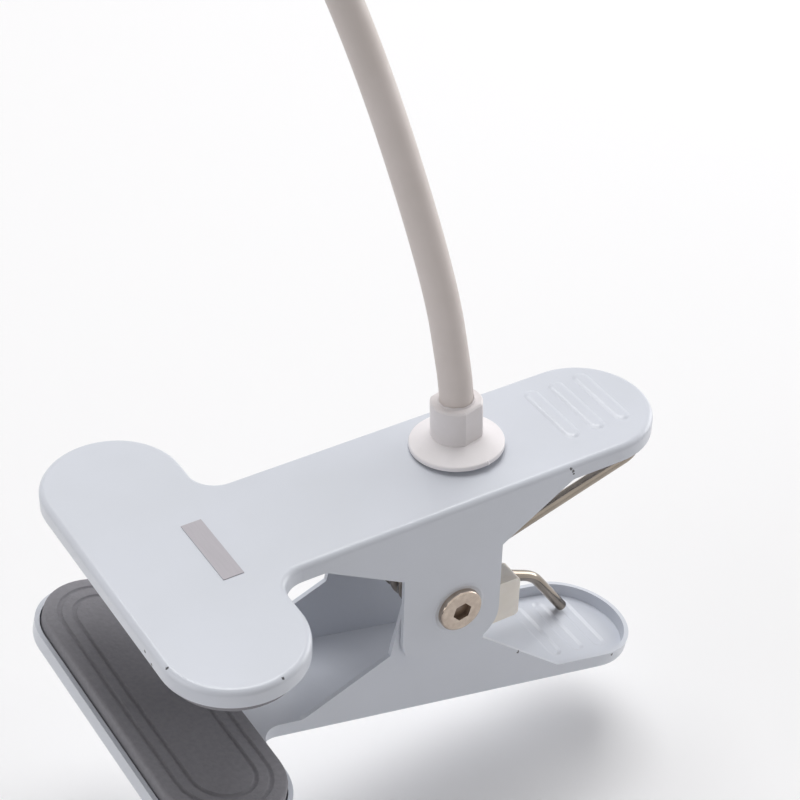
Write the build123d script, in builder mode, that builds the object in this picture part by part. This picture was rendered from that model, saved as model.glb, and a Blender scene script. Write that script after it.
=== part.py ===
from build123d import *

import os
from math import cos, dist, hypot, radians, sin, tan

# Clamp lamp: a pressed steel spring clip, a sleeved gooseneck and a small bell shade.
# The origin is the middle of the upper pad's gripping face. +X runs from the jaws to the
# handles, +Y along the pivot towards the far side, and +Z up.

os.makedirs("parts", exist_ok=True)

# Clip pressings
sheet = 1.2
jaw_span = 95.0
jaw_length = 34.8
arm_half_width = 17.75
upper_length = 148.7
lower_length = 157.5
lip_depth = 4.6
edge_radius = 1.5
crotch_radius = 6.8
upper_shoulder = 17.0
lower_shoulder = 19.4
ear_reach = 13.9
ear_corner = 9.0
slope_radius = 3.0
nest_gap = 0.3

# Along a pressing: the pivot from the front edge of its jaw, the ear and the front slope from
# the pivot, and the handle's plain lip from its end
pivot_station = 85.1
ear_front_reach = 15.7
ear_back_reach = 11.9
front_slope_run = 21.4
handle_lip_run = 32.0

# Pivot and how far the jaws stand open on a table top
pivot_drop = 32.1
open_angle = 13.3
barrel_radius = 4.0
screw_radius = 3.0
screw_length = 24.0
screw_hole_depth = 27.0
bolt_head_radius = 5.8
bolt_head_height = 1.7
bolt_head_edge = 0.7
screw_point = 0.5
hex_socket = 4.5
hex_depth = 1.5
hex_turn = 12
running_gap = 0.05

# Grip ribs pressed into the handles, counted from the handle's end
rib_insets = (25.7, 18.3, 10.9)
rib_shift = 1.5
rib_length = 21.5
rib_width = 4.4
rib_height = 0.4
rib_draft = 68
rib_rounding = 2.0

# Pads, and the bare label plate
pad_stand = 3.0
pad_clearance = 0.4
pad_edge = 0.8
label_station = 26.8
label_shift = -2.4
label_width = 5.2
label_length = 21.2
label_thickness = 0.2

# Torsion spring and its nylon guides
wire_diameter = 3.0
coil_radius = 7.5
coil_turns = 5
coil_gap = 0.75
upper_leg_angle = 16.8
lower_leg_angle = -24.9
upper_foot_angle = 86.0
lower_foot_angle = -55.9
upper_leg_reach = 58.0
lower_leg_reach = 48.3
leg_bend = 3.5
tip_gap = 0.15
guide_gap = 0.3
guide_disc = 0.65
flange_gap = 0.1
lug_front = 9.4
lug_back = 20.1
lug_top = -1.1
lug_bottom = -13.4
lug_thickness = 6.5
lug_corner = 1.2

# Gooseneck and its fixing on the upper pressing, which leans a little towards the far side
neck_station = 95.8
neck_shift = 2.5
neck_lean = 3.5
neck_lean_across = (-0.25, 0.97)
sleeve_radius = 4.15
conduit_radius = 3.2
conduit_bore = 2.2
sleeve_gap = 0.05
flange_radius = 11.7
flange_rim = 1.0
flange_height = 3.4
flange_crown = 6.6
flange_edge = 0.5
collar_radius = 6.4
collar_height = 9.4
collar_flat = 5.75
collar_edge = 0.4
mouth_radius = 4.25
grip_length = 8.0
nipple_radius = 4.0
nipple_bore = 2.8
nipple_hole = 4.5
thread_gap = 0.05
nipple_below = 9.5
washer_radius = 7.5
washer_thickness = 1.2
washer_gap = 0.1
nut_flats = 13.0
nut_height = 4.5
bend_share = 0.45
neck_straight = 12.0
neck_bends = (
    (76.6, 10.5, 53.6),
    (69.6, 39.3, 110.6),
    (52.0, 66.0, 165.0),
    (28.0, 76.0, 226.0),
    (-4.0, 80.0, 280.0),
    (-52.0, 76.0, 306.0),
)
head_straight = 44.0

# Head: everything hangs below the mouth of the top ferrule
head_x = -92.0
head_y = 70.0
head_mouth = 248.0
ferrule_height = 12.0
housing_radius = 21.0
housing_height = 43.2
housing_wall = 0.8
housing_crown = 5.0
holder_drop = 33.0
nipple_end_gap = 0.5
holder_bore_depth = 23.0
holder_cap_radius = 13.5
holder_cap_height = 14.0
holder_cap_wall = 2.5
holder_radius = 13.0
holder_height = 31.0
holder_flange_radius = 16.0
holder_flange_height = 1.5
shell_radius = 7.7
shell_bore = 7.25
shell_height = 20.0
contact_width = 5.0
contact_length = 11.0
contact_thickness = 0.5
contact_hump = 1.0
shade_thickness = 0.8
shade_top_radius = 22.5
shade_rim_radius = 55.0
shade_height = 80.0
shade_bulge = 9.6
shade_bead = 1.3
shade_ring_radius = 18.0
shade_ring_height = 8.0
shade_ring_edge = 1.0
bulb_cap_radius = 6.9
bulb_cap_length = 21.0
bulb_cap_edge = 1.0
bulb_glass_length = 48.2
bulb_radius = 22.5
bulb_neck_radius = 9.0
bulb_shoulder_radius = 15.0
bulb_seat = 1.0
insulator_radius = 4.5
insulator_height = 1.2
insulator_taper = 35
glass_wall = 1.0
shade_hole_gap = 0.15
switch_gap = 0.2
switch_radius = 4.4
switch_depth = 14.0
switch_edge = 0.5
switch_neck = 3.7
bezel_radius = 5.4
bezel_height = 2.4
bezel_edge = 0.6
button_radius = 2.7
button_stand = 4.2
button_depth = 6.0
button_travel = 2.0
button_gap = 0.1
button_dome = 0.8
cord_hole_below_crown = 12.0
grommet_hole = 4.0
grommet_radius = 5.4
grommet_bore = 2.6
grommet_lip = 1.4

# Places that follow from the sizes above
plate_top = lip_depth + pad_stand
front_edge = -jaw_length / 2
pivot = Vector(front_edge + pivot_station, 0, plate_top - pivot_drop)
ear_front = pivot_station - ear_front_reach
ear_back = pivot_station + ear_back_reach
flange_start = ear_front - front_slope_run
inner_half_width = arm_half_width - sheet - nest_gap
guide_end = inner_half_width - sheet - guide_gap
upper_seat = Plane(origin=(0, 0, plate_top), x_dir=(1, 0, 0), z_dir=(0, 0, 1))


def swing(vector, angle):
    """Turn a direction about the pivot's line, handle end down for a positive angle."""
    return vector.rotate(Axis.Y, angle)


lower_seat = Plane(
    origin=pivot + swing(Vector(-pivot.X, 0, -pivot_drop), open_angle),
    x_dir=swing(Vector(1, 0, 0), open_angle),
    z_dir=swing(Vector(0, 0, -1), open_angle),
)


def side_plane(seat):
    """The plane along a pressing's middle, with x to the handle and y out of the plate."""
    return Plane(origin=seat.origin, x_dir=seat.x_dir, z_dir=seat.x_dir.cross(seat.z_dir))


def station(distance):
    """A place along a pressing, from its front edge, in the seat's own x."""
    return front_edge + distance


def jaw_outline(sketch, length, half_width, inset=0.0):
    """The T-shaped jaw with its arm and round handle end, drawn on an open sketch."""
    handle_centre = station(length) - half_width
    SlotOverall(jaw_span, jaw_length, rotation=90)
    with Locations((handle_centre / 2, 0)):
        Rectangle(handle_centre, 2 * half_width)
    with Locations((handle_centre, 0)):
        Circle(half_width)
    corners = [
        v
        for v in sketch.vertices()
        if abs(v.X - jaw_length / 2) < 0.01 and abs(abs(v.Y) - half_width) < 0.01
    ]
    fillet(corners, crotch_radius)
    if inset:
        offset(amount=-inset)


def side_profile(sketch, length, shoulder):
    """The lower edge of a pressing's flanges: lip, slope, ear, slope and lip again."""
    ear_bottom = -(pivot_drop + ear_reach)
    flange_end = length - handle_lip_run
    before = station(0) - sheet
    beyond = station(length) + sheet
    corners = [
        (before, sheet),
        (before, -lip_depth),
        (station(flange_start), -lip_depth),
        (station(ear_front), -shoulder),
        (station(ear_front), ear_bottom),
        (station(ear_back), ear_bottom),
        (station(ear_back), -shoulder),
        (station(flange_end), -lip_depth),
        (beyond, -lip_depth),
        (beyond, sheet),
    ]
    Polygon(*corners, align=None)
    fillet(sketch.vertices().sort_by(Axis.Y)[:2], ear_corner)
    slopes = [
        v
        for v in sketch.vertices()
        if min(abs(v.X - station(flange_start)), abs(v.X - station(flange_end))) < 0.01
    ]
    fillet(slopes, slope_radius)


def press_jaw(seat, length, half_width, shoulder):
    """One pressing: a lipped plate with two ears, a pivot hole and its grip ribs."""
    depth = pivot_drop + ear_reach
    side = side_plane(seat)
    towards_far_side = seat.y_dir.Y
    with BuildPart() as jaw:
        with BuildSketch(seat) as blank:
            jaw_outline(blank, length, half_width)
        extrude(amount=-depth)
        top = jaw.faces().sort_by(Axis(seat.origin, seat.z_dir))[-1]
        fillet(top.edges(), edge_radius)
        with BuildSketch(seat.offset(-sheet)) as hollow:
            jaw_outline(hollow, length, half_width, sheet)
        extrude(amount=-depth, mode=Mode.SUBTRACT)
        with BuildSketch(side) as profile:
            side_profile(profile, length, shoulder)
        extrude(amount=jaw_span, both=True, mode=Mode.INTERSECT)
        with BuildSketch(side):
            with Locations((station(pivot_station), -pivot_drop)):
                Circle(barrel_radius + running_gap)
        extrude(amount=2 * half_width, both=True, mode=Mode.SUBTRACT)
        ribs = [(station(length - inset), rib_shift * towards_far_side) for inset in rib_insets]
        with BuildSketch(seat.offset(-sheet)):
            with Locations(*ribs):
                SlotOverall(rib_length, rib_width, rotation=90)
        extrude(amount=rib_height, taper=rib_draft, mode=Mode.SUBTRACT)
        with BuildSketch(seat):
            with Locations(*ribs):
                SlotOverall(rib_length, rib_width, rotation=90)
        extrude(amount=rib_height, taper=rib_draft)
        crests = jaw.faces().filter_by(
            lambda face: abs(seat.to_local_coords(face.center()).Z - rib_height) < 0.01
        )
        fillet(crests.edges(), rib_rounding)
    return jaw.part


def press_pad(seat):
    """A gripping pad: a round-ended bar that fills its jaw and stands below the lip."""
    with BuildPart() as pad:
        with BuildSketch(seat.offset(-sheet)):
            inset = sheet + pad_clearance
            SlotOverall(jaw_span - 2 * inset, jaw_length - 2 * inset, rotation=90)
        extrude(amount=sheet - plate_top)
        grip = pad.faces().sort_by(Axis(seat.origin, seat.z_dir))[0]
        fillet(grip.edges(), pad_edge)
    return pad.part


# Upper pressing, with the hole for the gooseneck's nipple
neck_foot = Vector(station(neck_station), neck_shift, plate_top)
with BuildPart() as upper_jaw:
    add(press_jaw(upper_seat, upper_length, arm_half_width, upper_shoulder))
    with BuildSketch(upper_seat):
        with Locations((neck_foot.X, neck_foot.Y)):
            Circle(nipple_hole)
    extrude(amount=-2 * sheet, mode=Mode.SUBTRACT)
upper_jaw.part.label = "upper_jaw"
export_step(upper_jaw.part, "parts/upper_jaw.step")

# Lower pressing: a like shape turned over, with a longer handle, and narrower by a sheet so
# that its ears nest in the upper's
with BuildPart() as lower_jaw:
    add(press_jaw(lower_seat, lower_length, inner_half_width, lower_shoulder))
lower_jaw.part.label = "lower_jaw"
export_step(lower_jaw.part, "parts/lower_jaw.step")

# Gripping pads
with BuildPart() as upper_pad:
    add(press_pad(upper_seat))
upper_pad.part.label = "upper_pad"
export_step(upper_pad.part, "parts/upper_pad.step")

with BuildPart() as lower_pad:
    add(press_pad(lower_seat))
lower_pad.part.label = "lower_pad"
export_step(lower_pad.part, "parts/lower_pad.step")

# Bare label plate on the upper jaw
with BuildPart() as label_plate:
    with BuildSketch(upper_seat):
        with Locations((station(label_station), label_shift)):
            Rectangle(label_width, label_length)
    extrude(amount=label_thickness)
label_plate.part.label = "label_plate"
export_step(label_plate.part, "parts/label_plate.step")

# Pivot: a hex socket screw from the near side, in a sleeve nut from the far side
pivot_near = Plane(origin=pivot - Vector(0, arm_half_width, 0), x_dir=(1, 0, 0), z_dir=(0, -1, 0))
pivot_far = Plane(origin=pivot + Vector(0, arm_half_width, 0), x_dir=(-1, 0, 0), z_dir=(0, 1, 0))


def bolt_head(plane):
    """A flat round head with a rounded rim and a hex socket, standing on the plane."""
    with BuildPart() as head:
        with BuildSketch(plane):
            Circle(bolt_head_radius)
        extrude(amount=bolt_head_height)
        fillet(head.faces().sort_by(Axis(plane.origin, plane.z_dir))[-1].edges(), bolt_head_edge)
        with BuildSketch(plane.offset(bolt_head_height)):
            RegularPolygon(hex_socket / 2, 6, major_radius=False, rotation=hex_turn)
        extrude(amount=-hex_depth, mode=Mode.SUBTRACT)
    return head.part


with BuildPart() as pivot_screw:
    add(bolt_head(pivot_near))
    with BuildSketch(pivot_near):
        Circle(screw_radius)
    extrude(amount=-screw_length)
    chamfer(pivot_screw.edges().sort_by(Axis.Y)[-1], screw_point)
pivot_screw.part.label = "pivot_screw"
export_step(pivot_screw.part, "parts/pivot_screw.step")

with BuildPart() as pivot_nut:
    add(bolt_head(pivot_far))
    with BuildSketch(pivot_far):
        Circle(barrel_radius)
    extrude(amount=-(2 * arm_half_width - flange_gap))
    with BuildSketch(pivot_near):
        Circle(screw_radius + running_gap)
    extrude(amount=-screw_hole_depth, mode=Mode.SUBTRACT)
pivot_nut.part.label = "pivot_nut"
export_step(pivot_nut.part, "parts/pivot_nut.step")

# The coil's own places, and the nylon guides that centre it on the barrel from each side
wire_radius = wire_diameter / 2
coil_near_y = -(guide_end - guide_disc - flange_gap - wire_radius)
coil_start = 90 + upper_leg_angle
coil_sweep = 360 * coil_turns + (270 + lower_leg_angle) - coil_start
climb = (wire_diameter + coil_gap) * coil_sweep / 360
coil_far_y = coil_near_y + climb
disc_radius = coil_radius + wire_radius
hub_radius = coil_radius - wire_radius - guide_gap
coil_near_face = coil_near_y - wire_radius - flange_gap
coil_far_face = coil_far_y + wire_radius + flange_gap
hub_meeting = (coil_near_y + coil_far_y) / 2


def across(y):
    """The plane square to the pivot at a place along it, with x to the handles and y up."""
    return Plane(origin=(pivot.X, y, pivot.Z), x_dir=(1, 0, 0), z_dir=(0, -1, 0))


with BuildPart() as spring_guide:
    with BuildSketch(across(hub_meeting - flange_gap)):
        Circle(hub_radius)
    extrude(amount=hub_meeting - flange_gap + guide_end)
    with BuildSketch(across(coil_near_face)):
        Circle(disc_radius)
        with Locations((lug_back / 2, (lug_top + lug_bottom) / 2)):
            Rectangle(lug_back, lug_top - lug_bottom)
    extrude(amount=coil_near_face + guide_end)
    with BuildSketch(across(lug_thickness - guide_end)):
        with Locations(((lug_front + lug_back) / 2, (lug_top + lug_bottom) / 2)):
            Rectangle(lug_back - lug_front, lug_top - lug_bottom)
    extrude(amount=lug_thickness)
    lug_edges = spring_guide.edges().filter_by(Axis.Y).group_by(Axis.X)[-1]
    fillet(lug_edges, lug_corner)
    with BuildSketch(across(0)):
        Circle(barrel_radius + flange_gap)
    extrude(amount=arm_half_width, both=True, mode=Mode.SUBTRACT)
spring_guide.part.label = "spring_guide"
export_step(spring_guide.part, "parts/spring_guide.step")

with BuildPart() as spring_spacer:
    with BuildSketch(across(guide_end)):
        Circle(disc_radius)
    extrude(amount=guide_end - coil_far_face)
    with BuildSketch(across(guide_end)):
        Circle(hub_radius)
    extrude(amount=guide_end - hub_meeting - flange_gap)
    with BuildSketch(across(0)):
        Circle(barrel_radius + flange_gap)
    extrude(amount=arm_half_width, both=True, mode=Mode.SUBTRACT)
spring_spacer.part.label = "spring_spacer"
export_step(spring_spacer.part, "parts/spring_spacer.step")

# Torsion spring: one wire, from a hooked foot under the upper plate, round the pivot,
# to a cranked foot on the lower plate


def on_coil(angle, y):
    return pivot + Vector(coil_radius * cos(radians(angle)), y, coil_radius * sin(radians(angle)))


def heading(angle):
    return Vector(cos(radians(angle)), 0, sin(radians(angle)))


def biarc(start, start_heading, end, end_heading):
    """Two arcs from one place and heading to another, meeting smoothly half way."""
    chord = end - start
    both = start_heading + end_heading
    square = 2 * (1 - start_heading.dot(end_heading))
    along = chord.dot(both)
    reach = (-along + hypot(along, (square * chord.dot(chord)) ** 0.5)) / square
    first = start + start_heading * reach
    last = end - end_heading * reach
    middle = (first + last) / 2
    TangentArc(start, middle, tangent=start_heading)
    TangentArc(middle, end, tangent=(last - first).normalized())


coil_steps = round(coil_sweep / 90)
coil_step = coil_sweep / coil_steps
coil_slope = climb / (coil_radius * radians(coil_sweep))


def coil_heading(step):
    """The wire's heading on the coil; the first and last steps run square to the pivot."""
    angle = radians(coil_start + step * coil_step)
    rise = 0 if step in (0, coil_steps) else coil_slope
    return Vector(-sin(angle), rise, cos(angle)).normalized()


def coil_place(step):
    return on_coil(coil_start + step * coil_step, coil_near_y + climb * step / coil_steps)


upper_knee = on_coil(coil_start, coil_near_y) + heading(upper_leg_angle) * upper_leg_reach
upper_foot_z = plate_top - sheet - tip_gap - wire_radius * cos(radians(upper_foot_angle))
upper_foot = upper_knee + heading(upper_foot_angle) * (
    (upper_foot_z - upper_knee.Z) / sin(radians(upper_foot_angle))
)
lower_start = on_coil(coil_start + coil_sweep, coil_far_y)
lower_knee = lower_start + heading(lower_leg_angle) * lower_leg_reach
plate_inside = lower_seat.origin - lower_seat.z_dir * (sheet + tip_gap)
foot_heading = heading(lower_foot_angle)
foot_edge = lower_seat.z_dir * (wire_radius * sin(radians(-lower_foot_angle - open_angle + 90)))
knee_height = (plate_inside - lower_knee).dot(lower_seat.z_dir) - foot_edge.length
lower_foot = lower_knee + foot_heading * (knee_height / foot_heading.dot(lower_seat.z_dir))

with BuildPart() as clamp_spring:
    with BuildLine() as wire:
        FilletPolyline(upper_foot, upper_knee, coil_place(0), radius=leg_bend)
        for step in range(coil_steps):
            biarc(coil_place(step), coil_heading(step), coil_place(step + 1), coil_heading(step + 1))
        FilletPolyline(coil_place(coil_steps), lower_knee, lower_foot, radius=leg_bend)
    with BuildSketch(Plane(origin=wire.line @ 0, z_dir=wire.line % 0)):
        Circle(wire_radius)
    sweep(path=wire.wires()[0])
clamp_spring.part.label = "clamp_spring"
export_step(clamp_spring.part, "parts/clamp_spring.step")

samples = 900
wire_path = wire.wires()[0]
wire_points = [tuple(wire_path @ (i / samples)) for i in range(samples + 1)]
apart = int(samples * 3.5 * coil_radius / wire_path.length)
least = min(
    dist(wire_points[i], wire_points[j])
    for i in range(samples + 1)
    for j in range(i + apart, samples + 1)
)
print(f"spring: {wire_path.length:.1f} mm of wire, least gap to itself {least - wire_diameter:.2f} mm")

# Gooseneck base. The flange stands on its far edge, so its axis leans with the neck.
lean_across = Vector(*neck_lean_across, 0).normalized()
neck_up = Vector(0, 0, 1) * cos(radians(neck_lean)) + lean_across * sin(radians(neck_lean))
neck_side = lean_across * cos(radians(neck_lean)) - Vector(0, 0, 1) * sin(radians(neck_lean))
rim_lift = flange_radius * sin(radians(neck_lean))
neck_plane = Plane(origin=neck_foot + Vector(0, 0, rim_lift), x_dir=neck_side, z_dir=neck_up)
neck_section = Plane(origin=neck_plane.origin, x_dir=neck_side, z_dir=neck_side.cross(neck_up))
neck_axis = Axis(neck_plane.origin, neck_up)

with BuildPart() as neck_flange:
    with BuildSketch(neck_section):
        bore = nipple_radius + sleeve_gap
        with BuildLine():
            Polyline(
                (bore, 0),
                (flange_radius, 0),
                (flange_radius, flange_rim),
                (flange_crown, flange_height),
                (bore, flange_height),
                close=True,
            )
        make_face()
    revolve(axis=neck_axis)
    rim = neck_flange.edges().filter_by(GeomType.CIRCLE).filter_by(
        lambda edge: abs(edge.radius - flange_radius) < 0.01
    )
    fillet(rim.sort_by(neck_axis)[-1], flange_edge)
neck_flange.part.label = "neck_flange"
export_step(neck_flange.part, "parts/neck_flange.step")


def collar(plane, height, grip):
    """A ferrule with two wrench flats: it screws on a nipple and holds the sleeve's end."""
    with BuildPart() as body:
        with BuildSketch(plane):
            Circle(collar_radius)
            Rectangle(2 * collar_flat, 2 * collar_radius, mode=Mode.INTERSECT)
        extrude(amount=height)
        chamfer(body.faces().sort_by(Axis(plane.origin, plane.z_dir))[-1].edges(), collar_edge)
        with BuildSketch(plane):
            Circle(nipple_radius + thread_gap)
        extrude(amount=height - grip, mode=Mode.SUBTRACT)
        with BuildSketch(plane.offset(height - grip)):
            Circle(mouth_radius)
        extrude(amount=grip, mode=Mode.SUBTRACT)
    return body.part


def threaded_tube(plane, length):
    """A hollow nipple that reaches down from the plane."""
    with BuildPart() as tube:
        with BuildSketch(plane):
            Circle(nipple_radius)
            Circle(nipple_bore, mode=Mode.SUBTRACT)
        extrude(amount=-length)
    return tube.part


def hex_nut(plane):
    """A nut for the nipple, hanging below the plane."""
    with BuildPart() as nut:
        with BuildSketch(plane):
            RegularPolygon(nut_flats / 2, 6, major_radius=False)
            Circle(nipple_radius + thread_gap, mode=Mode.SUBTRACT)
        extrude(amount=-nut_height)
    return nut.part


collar_plane = neck_plane.offset(flange_height)
with BuildPart() as neck_collar:
    add(collar(collar_plane, collar_height, grip_length))
neck_collar.part.label = "neck_collar"
export_step(neck_collar.part, "parts/neck_collar.step")

# The washer hangs on the nut a hair below the plate, with its near edge against it
nipple_top = flange_height + collar_height - grip_length
under_plate = -(rim_lift + sheet + (washer_radius + washer_gap) * tan(radians(neck_lean)))
with BuildPart() as neck_nipple:
    add(threaded_tube(neck_plane.offset(nipple_top), nipple_top + nipple_below + rim_lift))
neck_nipple.part.label = "neck_nipple"
export_step(neck_nipple.part, "parts/neck_nipple.step")

with BuildPart() as nipple_washer:
    with BuildSketch(neck_plane.offset(under_plate)):
        Circle(washer_radius)
        Circle(nipple_radius + thread_gap, mode=Mode.SUBTRACT)
    extrude(amount=-washer_thickness)
nipple_washer.part.label = "nipple_washer"
export_step(nipple_washer.part, "parts/nipple_washer.step")

with BuildPart() as nipple_nut:
    add(hex_nut(neck_plane.offset(under_plate - washer_thickness)))
nipple_nut.part.label = "nipple_nut"
export_step(nipple_nut.part, "parts/nipple_nut.step")

# Gooseneck: a flexible steel conduit in a smooth sleeve. Its route leaves the collar,
# leans to the far side and arches over towards the table, to hang the head straight down.
neck_seat = neck_plane.offset(nipple_top).origin
head_seat = Vector(head_x, head_y, head_mouth - grip_length)
route = [neck_seat, neck_seat + neck_up * neck_straight]
route += [Vector(*bend) for bend in neck_bends]
route += [head_seat + Vector(0, 0, head_straight), head_seat]


def bend_radius(index):
    """The radius of the bend at one point of the route, as large as its runs allow."""
    before = route[index] - route[index - 1]
    after = route[index + 1] - route[index]
    turn = before.get_angle(after)
    return bend_share * min(before.length, after.length) / tan(radians(turn / 2))


def between(index, share=0.5):
    """A place part of the way along one run of the route."""
    return route[index] + (route[index + 1] - route[index]) * share


# Each stretch takes two bends, spans one bending joint, and meets the next stretch half way
# along a straight run
stretches = ("base", "lower", "upper", "top")


def neck_tube(corners, start, end, outer, inner):
    """A tube along part of the route."""
    points = [start] + [route[i] for i in corners] + [end]
    with BuildPart() as tube:
        with BuildLine() as line:
            FilletPolyline(*points, radius=[bend_radius(i) for i in corners])
        with BuildSketch(Plane(origin=line.line @ 0, z_dir=line.line % 0)):
            Circle(outer)
            Circle(inner, mode=Mode.SUBTRACT)
        sweep(path=line.wires()[0])
    return tube.part, line.wires()[0].length


neck_length = 0
for k, name in enumerate(stretches):
    corners = (2 * k + 1, 2 * k + 2)
    start = between(corners[0] - 1) if k else route[0]
    end = route[-1] if name == stretches[-1] else between(corners[1])
    with BuildPart() as neck_sleeve:
        sleeve, run = neck_tube(corners, start, end, sleeve_radius, conduit_radius + sleeve_gap)
        add(sleeve)
    neck_sleeve.part.label = f"neck_sleeve_{name}"
    export_step(neck_sleeve.part, f"parts/neck_sleeve_{name}.step")
    with BuildPart() as neck_conduit:
        conduit, run = neck_tube(corners, start, end, conduit_radius, conduit_bore)
        add(conduit)
    neck_conduit.part.label = f"neck_conduit_{name}"
    export_step(neck_conduit.part, f"parts/neck_conduit_{name}.step")
    neck_length += run
print(f"gooseneck: {neck_length:.0f} mm, bends of {[round(bend_radius(i)) for i in range(1, 9)]} mm")


def below(drop):
    """The level plane at a distance below the mouth of the top ferrule."""
    return Plane(origin=(head_x, head_y, head_mouth - drop), x_dir=(1, 0, 0), z_dir=(0, 0, 1))


head_section = Plane(origin=(head_x, head_y, head_mouth), x_dir=(1, 0, 0), z_dir=(0, -1, 0))
head_axis = Axis((head_x, head_y, 0), (0, 0, 1))
crown_z = ferrule_height
inner_crown = crown_z + housing_wall

# Top ferrule, nipple and nut
with BuildPart() as head_ferrule:
    add(collar(below(crown_z), ferrule_height, grip_length))
head_ferrule.part.label = "head_ferrule"
export_step(head_ferrule.part, "parts/head_ferrule.step")

with BuildPart() as head_nipple:
    add(threaded_tube(below(grip_length), holder_drop + holder_cap_wall - nipple_end_gap - grip_length))
head_nipple.part.label = "head_nipple"
export_step(head_nipple.part, "parts/head_nipple.step")

with BuildPart() as head_nut:
    add(hex_nut(below(inner_crown)))
head_nut.part.label = "head_nut"
export_step(head_nut.part, "parts/head_nut.step")

# Housing: a pressed cup with holes for the nipple, the switch and the cord's grommet. The
# switch stands just clear of the nut's corners.
switch_offset = nut_flats / 3**0.5 + switch_gap + switch_radius
cord_plane = Plane(
    origin=(head_x, head_y, head_mouth - crown_z - cord_hole_below_crown),
    x_dir=(0, 1, 0),
    z_dir=(-1, 0, 0),
)
with BuildPart() as head_housing:
    with BuildSketch(below(crown_z)):
        Circle(housing_radius)
    extrude(amount=-housing_height)
    fillet(head_housing.edges().sort_by(Axis.Z)[-1], housing_crown)
    offset(amount=-housing_wall, openings=head_housing.faces().sort_by(Axis.Z)[0])
    with BuildSketch(below(crown_z)):
        Circle(nipple_radius + sleeve_gap)
        with Locations((0, -switch_offset)):
            Circle(switch_neck + sleeve_gap)
    extrude(amount=-2 * housing_wall, mode=Mode.SUBTRACT)
    with BuildSketch(cord_plane):
        Circle(grommet_hole)
    extrude(amount=2 * housing_radius, mode=Mode.SUBTRACT)
head_housing.part.label = "head_housing"
export_step(head_housing.part, "parts/head_housing.step")

# Rubber grommet in the cord's hole, grooved round the housing's wall
with BuildPart() as cord_grommet:
    with BuildSketch(cord_plane.offset(housing_radius - housing_wall - grommet_lip)):
        Circle(grommet_radius)
    extrude(amount=housing_wall + 2 * grommet_lip)
    with BuildSketch(below(0)):
        Circle(housing_radius)
        Circle(housing_radius - housing_wall, mode=Mode.SUBTRACT)
    extrude(amount=-(crown_z + housing_height), mode=Mode.SUBTRACT)
    with BuildSketch(cord_plane.offset(housing_radius - housing_wall - grommet_lip)):
        Circle(grommet_hole - sleeve_gap)
    extrude(amount=housing_wall + grommet_lip)
    with BuildSketch(cord_plane):
        Circle(grommet_bore)
    extrude(amount=2 * housing_radius, mode=Mode.SUBTRACT)
cord_grommet.part.label = "cord_grommet"
export_step(cord_grommet.part, "parts/cord_grommet.step")

# Push switch: body under the crown, bezel nut on top, and the button that travels in it
switch_place = (0, -switch_offset)
bezel_top = crown_z - bezel_height
button_top = bezel_top - button_stand
with BuildPart() as switch_body:
    with BuildSketch(below(inner_crown)):
        with Locations(switch_place):
            Circle(switch_radius)
    extrude(amount=-switch_depth)
    chamfer(switch_body.edges().filter_by(GeomType.CIRCLE), switch_edge)
    with BuildSketch(below(inner_crown)):
        with Locations(switch_place):
            Circle(switch_neck)
    extrude(amount=inner_crown - bezel_top - 2 * sleeve_gap)
    with BuildSketch(below(bezel_top)):
        with Locations(switch_place):
            Circle(button_radius + button_gap)
    button_bore = bezel_height + button_depth + button_travel + switch_gap
    extrude(amount=-button_bore, mode=Mode.SUBTRACT)
switch_body.part.label = "switch_body"
export_step(switch_body.part, "parts/switch_body.step")

with BuildPart() as switch_bezel:
    with BuildSketch(below(crown_z)):
        with Locations(switch_place):
            Circle(bezel_radius)
    extrude(amount=bezel_height)
    fillet(switch_bezel.edges().sort_by(Axis.Z)[-1], bezel_edge)
    with BuildSketch(below(crown_z)):
        with Locations(switch_place):
            Circle(switch_neck + thread_gap)
    extrude(amount=bezel_height, mode=Mode.SUBTRACT)
switch_bezel.part.label = "switch_bezel"
export_step(switch_bezel.part, "parts/switch_bezel.step")

with BuildPart() as switch_button:
    with BuildSketch(below(button_top)):
        with Locations(switch_place):
            Circle(button_radius)
    extrude(amount=-(button_stand + bezel_height + button_depth))
    fillet(switch_button.edges().sort_by(Axis.Z)[-1], button_dome)
switch_button.part.label = "switch_button"
export_step(switch_button.part, "parts/switch_button.step")

# Lampholder: a cap on the nipple, a body with a flange over the shade, a threaded shell
# and a springy centre contact
holder_top = holder_drop + holder_cap_height
holder_mouth = holder_top + holder_height
shade_top = crown_z + housing_height
with BuildPart() as holder_cap:
    with BuildSketch(below(holder_drop)):
        Circle(holder_cap_radius)
    extrude(amount=-holder_cap_height)
    fillet(holder_cap.edges().sort_by(Axis.Z)[-1], holder_cap_wall)
    with BuildSketch(below(holder_drop + holder_cap_wall)):
        Circle(holder_cap_radius - holder_cap_wall)
    extrude(amount=-holder_cap_height, mode=Mode.SUBTRACT)
    with BuildSketch(below(holder_drop)):
        Circle(nipple_radius + thread_gap)
    extrude(amount=-holder_cap_wall, mode=Mode.SUBTRACT)
holder_cap.part.label = "holder_cap"
export_step(holder_cap.part, "parts/holder_cap.step")

with BuildPart() as holder_body:
    with BuildSketch(below(holder_top)):
        Circle(holder_radius)
    extrude(amount=-holder_height)
    with BuildSketch(below(shade_top)):
        Circle(holder_flange_radius)
    extrude(amount=holder_flange_height)
    with BuildSketch(below(holder_mouth)):
        Circle(shell_radius + sleeve_gap)
    extrude(amount=holder_bore_depth, mode=Mode.SUBTRACT)
holder_body.part.label = "holder_body"
export_step(holder_body.part, "parts/holder_body.step")

with BuildPart() as holder_shell:
    with BuildSketch(below(holder_mouth - bulb_seat)):
        Circle(shell_radius)
        Circle(shell_bore, mode=Mode.SUBTRACT)
    extrude(amount=shell_height)
holder_shell.part.label = "holder_shell"
export_step(holder_shell.part, "parts/holder_shell.step")

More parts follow.
